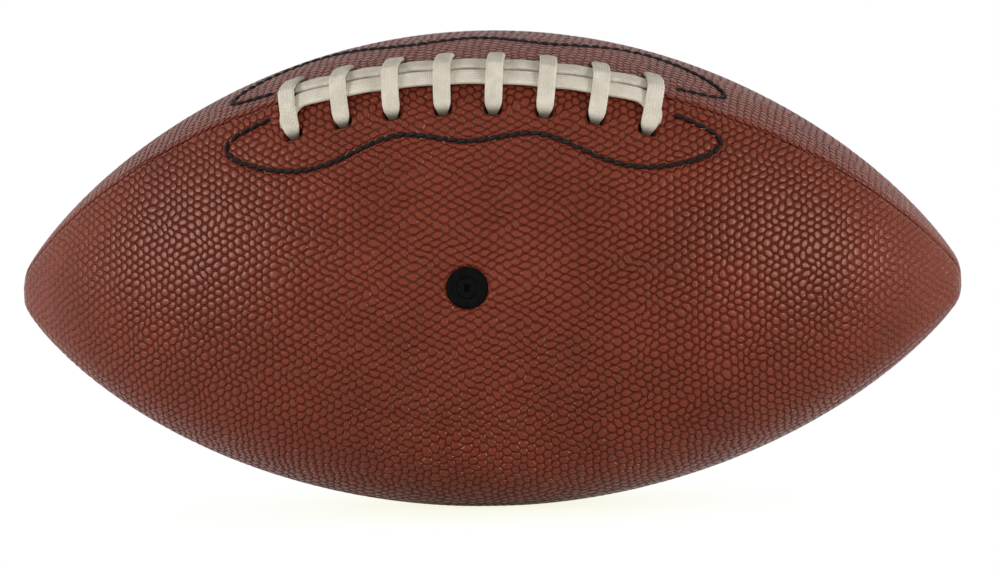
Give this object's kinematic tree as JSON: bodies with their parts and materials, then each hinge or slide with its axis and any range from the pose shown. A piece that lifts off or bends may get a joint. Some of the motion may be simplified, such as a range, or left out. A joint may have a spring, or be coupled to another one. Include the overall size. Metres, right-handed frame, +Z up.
{
  "type": "american football",
  "caption": "Pebbled red-brown leather american football with white lacing, black patch stitching and a rubber inflation valve",
  "frame": {"origin": "on the floor under the middle of the ball, in the plane of the flat it rests on", "axes": "X runs along the ball from nose to nose, Y runs from the valve side to the far side, Z is up"},
  "size_m": [0.285, 0.1562, 0.1432],
  "materials": {
    "cover_leather": "pebbled, satin",
    "lining_fabric": "woven cotton",
    "tongue_leather": "smooth",
    "lace_cord": "ribbed",
    "black_thread": "waxed",
    "seam_thread": "waxed",
    "bladder_rubber": "matte",
    "valve_rubber": "matte"
  },
  "bodies": {
    "ball": {"top_panel": "cover_leather", "front_panel": "cover_leather", "bottom_panel": "cover_leather", "back_panel": "cover_leather", "top_lining": "lining_fabric", "front_lining": "lining_fabric", "bottom_lining": "lining_fabric", "back_lining": "lining_fabric", "top_lace_patch": "lining_fabric", "front_lace_patch": "lining_fabric", "lace_tongue": "tongue_leather", "lace": "lace_cord", "top_patch_stitching": "black_thread", "front_patch_stitching": "black_thread", "lace_seam_thread": "seam_thread", "front_bottom_seam_thread": "seam_thread", "bottom_back_seam_thread": "seam_thread", "back_top_seam_thread": "seam_thread", "bladder": "bladder_rubber", "valve_body": "valve_rubber"},
    "valve_core": {"valve_core": "valve_rubber"}
  },
  "joints": [
    {"name": "valve_core_pull", "type": "slide", "parent": "ball", "child": "valve_core", "axis": [0, -1, 0], "range_m": [0, 0.018]}
  ]
}
